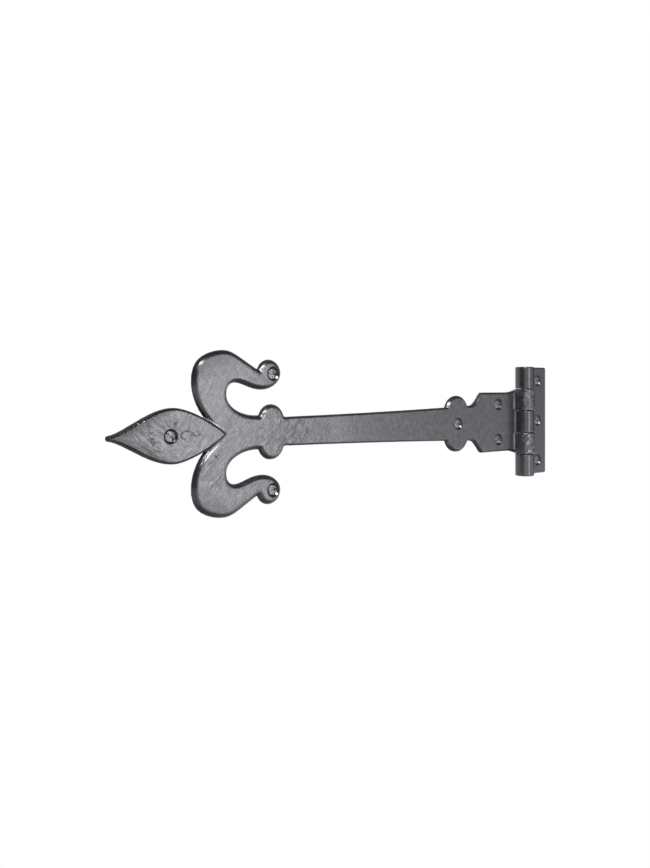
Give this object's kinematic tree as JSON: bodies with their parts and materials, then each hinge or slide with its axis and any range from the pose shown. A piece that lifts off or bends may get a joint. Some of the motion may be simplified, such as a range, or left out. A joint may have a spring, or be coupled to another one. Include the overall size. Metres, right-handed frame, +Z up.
{
  "type": "tee hinge",
  "caption": "Black cast iron tee hinge: a long tapering strap with a fleur-de-lys end, a narrow jamb leaf, interleaved knuckles on a riveted pin, and countersunk wood screws.",
  "frame": {"origin": "where the axis of the jamb leaf's middle screw crosses the plane of the backs", "axes": "+Z up along the hinge pin, +Y into the door and post, so -Y is the front, and +X from the strap towards the jamb leaf; the pin's axis is at x = -0.030 m, y = -0.00975 m"},
  "size_m": [0.5013, 0.0425, 0.13],
  "materials": {
    "black_casting": "black finished cast iron, satin, with a slightly pebbled face",
    "black_pin": "black finished steel, hammered at the ends",
    "black_screw": "black japanned steel, semi-gloss"
  },
  "bodies": {
    "jamb_side": {"jamb_leaf": "black_casting", "hinge_pin": "black_pin", "screw_jamb_lower": "black_screw", "screw_jamb_middle": "black_screw", "screw_jamb_upper": "black_screw"},
    "strap_side": {"strap": "black_casting", "screw_petal": "black_screw", "screw_collar": "black_screw", "screw_scroll_lower": "black_screw", "screw_scroll_upper": "black_screw", "screw_plate_lower": "black_screw", "screw_plate_upper": "black_screw"}
  },
  "joints": [
    {"name": "strap_swing", "type": "hinge", "parent": "jamb_side", "child": "strap_side", "pos_m": [-0.03, -0.00975, 0], "axis": [0, 0, 1], "range_deg": [0, 180]}
  ]
}
